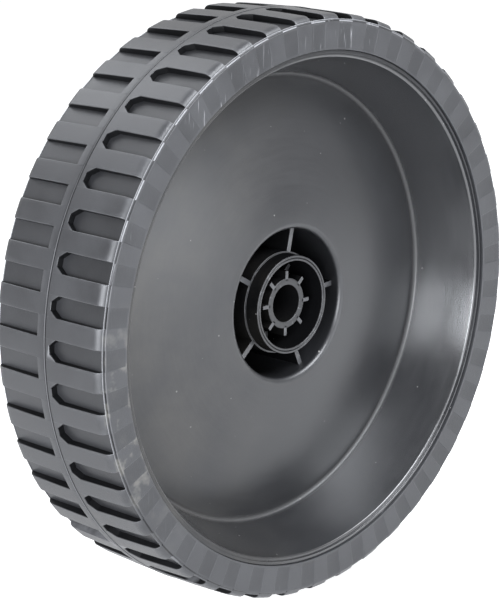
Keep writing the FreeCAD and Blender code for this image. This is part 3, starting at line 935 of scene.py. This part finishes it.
def wheel_plastic(f, s):
    """Grey moulded plastic, satin on the disc, glossier in the barrel, dull and with painted shade in the
    hub's depth, a painted sheen at the disc's left, a painted highlight along the fillet, and edges paler
    partly worn and partly as painted highlights.
    """
    material, w, shader = new_material("wheel_plastic")
    places = w.group(wheel_places())
    grain = w.group(moulded_grain(), Grain=3400.0, Cloud=38.0)
    specks = w.group(dust_specks())["Specks"]
    wear_and_highlight = w.group(worn_edges(), Wear=f.body_wear)
    radius = places["Radius"]
    foot = s.barrel_radius
    mouth = s.rim_radius - s.lip_wall

    barrel = w.span(radius, foot - 0.9 * MM, foot + 0.5 * MM)
    fillet = w.band(radius, foot - 1.9 * MM, foot - 1.1 * MM, foot + 0.1 * MM, foot + 0.7 * MM)
    wall = w.span(places["Facing along"], 0.9, 0.5)
    hub_wall = w.times(w.span(radius, s.recess_radius + 0.2 * MM, s.recess_radius - 0.3 * MM), wall)
    sheltered = w.times(w.span(radius, foot - 0.7 * MM, foot - 1.7 * MM), wall)
    bush = w.span(radius, s.fin_tip + 0.3 * MM, s.fin_tip - 0.1 * MM)
    left_lip = w.times(w.span(radius, mouth - 1.5 * MM, mouth - 0.5 * MM),
                       w.span(places["Across"], *LIP_SIDE))
    lip_step = w.times(w.span(radius, s.step_radius - 0.8 * MM, s.step_radius - 0.3 * MM),
                       w.span(places["Height"], *STEP_RISE))
    lip = w.most(left_lip, lip_step)

    flow = w.span(w.noise(places["Round"], 700.0, 3.0, 0.6), 0.35, 0.7)
    cloud = w.times(w.total(flow, grain["Clouds"]), 0.5)
    colour = w.blend(cloud, opaque(f.plastic_colour), opaque(f.plastic_pale))
    # Painted shade on the walls in the hub's depth
    colour = w.blend(w.times(hub_wall, f.hub_shade), colour, BLACK)
    # Painted warm sheen, fading from the disc's left
    film = w.times(w.span(places["Across"], *SHEEN_SIDE, 0.0, f.film), grain["Clouds"])
    colour = w.blend(film, colour, opaque(f.film_colour))
    # Painted highlight along the fillet between disc and barrel
    colour = w.blend(w.times(fillet, f.fillet_dust), colour, opaque(f.dust_colour))
    # Paler edges, partly worn and partly painted highlights, kept off the lip and the walls at the
    # barrel's foot
    worn_and_highlit = w.times(wear_and_highlight["Edges"], w.without(w.most(lip, sheltered)))
    colour = w.blend(worn_and_highlit, colour, opaque(f.scuff_colour))
    colour = w.blend(specks, colour, opaque(f.dust_colour))
    w.feed(shader.inputs["Base Color"], colour)

    rough = w.total(w.level(barrel, f.disc_rough, f.barrel_rough), w.level(cloud, -0.03, 0.05),
                    w.times(fillet, 0.2), w.times(specks, 0.3))
    w.feed(shader.inputs["Roughness"], rough)
    dull = w.most(hub_wall, w.times(bush, 0.2), w.times(fillet, 0.8), w.times(lip, 1.3))
    gloss = w.level(barrel, f.disc_gloss, f.barrel_gloss)
    w.feed(shader.inputs["Specular IOR Level"], w.maths("SUBTRACT", gloss, w.times(dull, f.dulling)))
    relief = w.total(w.times(grain["Height"], 0.6), w.times(flow, 0.25))
    bump = w.add("ShaderNodeBump", {"Height": relief, "Strength": 0.22, "Distance": 0.1 * MM})
    w.feed(shader.inputs["Normal"], bump.outputs[0])
    return material


# Stage

FLOOR_REACH = 6.0
WHEEL_MIDDLE = (0, 0, 0)

# Each lamp's name, place, width and depth, and where it looks
LAMPS = (
    ("front", (0.18, -1.20, 0.08), (0.9, 0.32), WHEEL_MIDDLE),
    ("floor_lamp", (0.10, -0.80, 0.80), (0.6, 0.6), (0.15, -0.65, -0.1)),
    ("overhead", (0.38, -0.50, 0.88), (0.6, 0.6), WHEEL_MIDDLE),
    ("key", (-0.28, -0.72, 0.80), (0.28, 0.28), WHEEL_MIDDLE),
    ("back", (-0.15, 0.90, 1.08), (1.1, 1.0), WHEEL_MIDDLE),
    ("side", (-0.74, -0.36, 0.10), (0.85, 0.40), WHEEL_MIDDLE),
)


def seen_directly(w):
    """One where the camera, a reflection or a see-through ray looks."""
    path = w.add("ShaderNodeLightPath").outputs
    return w.most(path["Is Camera Ray"], path["Is Glossy Ray"], path["Is Transmission Ray"])


def white_world(ambient):
    """Soft even light, white to look at."""
    world = bpy.data.worlds.new("white_room")
    bpy.context.scene.world = world
    world.use_nodes = True
    w = Wiring(world.node_tree)
    backdrop = world.node_tree.nodes["Background"]
    backdrop.inputs["Color"].default_value = WHITE
    w.feed(backdrop.inputs["Strength"], w.level(seen_directly(w), ambient, 1.0))


def floor_finish(colour, glow):
    """Pale floor that takes shadows and looks white where the light falls on it."""
    material, w, shader = new_material("pale_floor")
    shader.inputs["Base Color"].default_value = opaque(colour)
    shader.inputs["Roughness"].default_value = 0.9
    shader.inputs["Specular IOR Level"].default_value = 0.0
    shader.inputs["Emission Color"].default_value = WHITE
    w.feed(shader.inputs["Emission Strength"], w.level(seen_directly(w), 0.0, glow))
    return material


def add_floor(colour, glow):
    """A large plain floor under the wheel."""
    low = CAD_BOX[0][2]
    mesh = bpy.data.meshes.new("floor")
    corners = [(FLOOR_REACH * x, FLOOR_REACH * y, low) for x, y in ((-1, -1), (1, -1), (1, 1), (-1, 1))]
    mesh.from_pydata(corners, [], [(0, 1, 2, 3)])
    floor = bpy.data.objects.new("floor", mesh)
    floor.data.materials.append(floor_finish(colour, glow))
    bpy.context.scene.collection.objects.link(floor)


def add_lamp(name, place, size, target, watts, colour):
    """A soft rectangular lamp that looks at a target."""
    light = bpy.data.lights.new(name, "AREA")
    light.shape = "RECTANGLE"
    light.size, light.size_y = size
    light.energy = watts
    light.color = colour
    lamp = bpy.data.objects.new(name, light)
    lamp.location = place
    lamp.rotation_euler = (Vector(target) - Vector(place)).to_track_quat("-Z", "Y").to_euler()
    bpy.context.scene.collection.objects.link(lamp)


def add_camera(t):
    """The photograph's viewpoint."""
    camera = bpy.data.objects.new("camera", bpy.data.cameras.new("camera"))
    camera.data.lens = t.lens
    camera.data.sensor_width = 36.0
    camera.data.clip_start = 0.05
    camera.location = t.camera_place
    camera.rotation_euler = (math.radians(90) - t.camera_elevation, 0, t.camera_azimuth)
    bpy.context.scene.collection.objects.link(camera)
    bpy.context.scene.camera = camera


# Operators


class OBJECT_OT_mower_tyre(bpy.types.Operator):
    """Build the tyre with its two rows of tread blocks"""

    bl_idname = "object.mower_tyre"
    bl_label = "Tyre"

    def execute(self, context):
        sizes = context.scene.mower_tyre
        tyre = build_tyre(sizes)
        tyre.data.materials.append(tyre_compound(context.scene.mower_finishes, sizes))
        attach(tyre, "root")
        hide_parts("tyre")
        return {"FINISHED"}


class OBJECT_OT_mower_wheel_body(bpy.types.Operator):
    """Build the moulded wheel body with its ribs and fins"""

    bl_idname = "object.mower_wheel_body"
    bl_label = "Wheel body"

    def execute(self, context):
        sizes = context.scene.mower_wheel_body
        moulding = build_wheel_body(sizes)
        moulding.data.materials.append(wheel_plastic(context.scene.mower_finishes, sizes))
        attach(moulding, "root")
        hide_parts("wheel_body")
        return {"FINISHED"}


class OBJECT_OT_mower_stage(bpy.types.Operator):
    """Set up the floor, the light and the camera"""

    bl_idname = "object.mower_stage"
    bl_label = "Stage"

    def execute(self, context):
        t = context.scene.mower_stage
        context.scene.view_settings.view_transform = "Standard"
        white_world(t.ambient)
        add_floor(t.floor_colour, t.floor_glow)
        for name, place, size, target in LAMPS:
            add_lamp(name, place, size, target, getattr(t, f"{name}_power"), t.lamp_tint)
        add_camera(t)
        return {"FINISHED"}


class VIEW3D_PT_mower_wheel(bpy.types.Panel):
    """Lists the steps that build the wheel"""

    bl_idname = "VIEW3D_PT_mower_wheel"
    bl_label = "Mower Wheel"
    bl_space_type = "VIEW_3D"
    bl_region_type = "UI"
    bl_category = "Mower Wheel"

    def draw(self, context):
        for operator in OPERATORS:
            self.layout.operator(operator.bl_idname)
        for label in SETTINGS:
            settings = getattr(context.scene, label)
            box = self.layout.box()
            for field in settings.__annotations__:
                box.prop(settings, field)


OPERATORS = (OBJECT_OT_mower_tyre, OBJECT_OT_mower_wheel_body, OBJECT_OT_mower_stage)
SETTINGS = {
    "mower_tyre": TyreSizes,
    "mower_wheel_body": WheelBodySizes,
    "mower_finishes": Finishes,
    "mower_stage": StageSettings,
}


def register():
    for label, group in SETTINGS.items():
        bpy.utils.register_class(group)
        setattr(bpy.types.Scene, label, bpy.props.PointerProperty(type=group))
    for panel_or_operator in (*OPERATORS, VIEW3D_PT_mower_wheel):
        bpy.utils.register_class(panel_or_operator)


def unregister():
    for panel_or_operator in (VIEW3D_PT_mower_wheel, *reversed(OPERATORS)):
        bpy.utils.unregister_class(panel_or_operator)
    for label, group in reversed(SETTINGS.items()):
        delattr(bpy.types.Scene, label)
        bpy.utils.unregister_class(group)


def main():
    register()
    bpy.ops.object.mower_tyre()
    bpy.ops.object.mower_wheel_body()
    bpy.ops.object.mower_stage()
    bpy.context.view_layer.update()


if __name__ == "__main__":
    main()
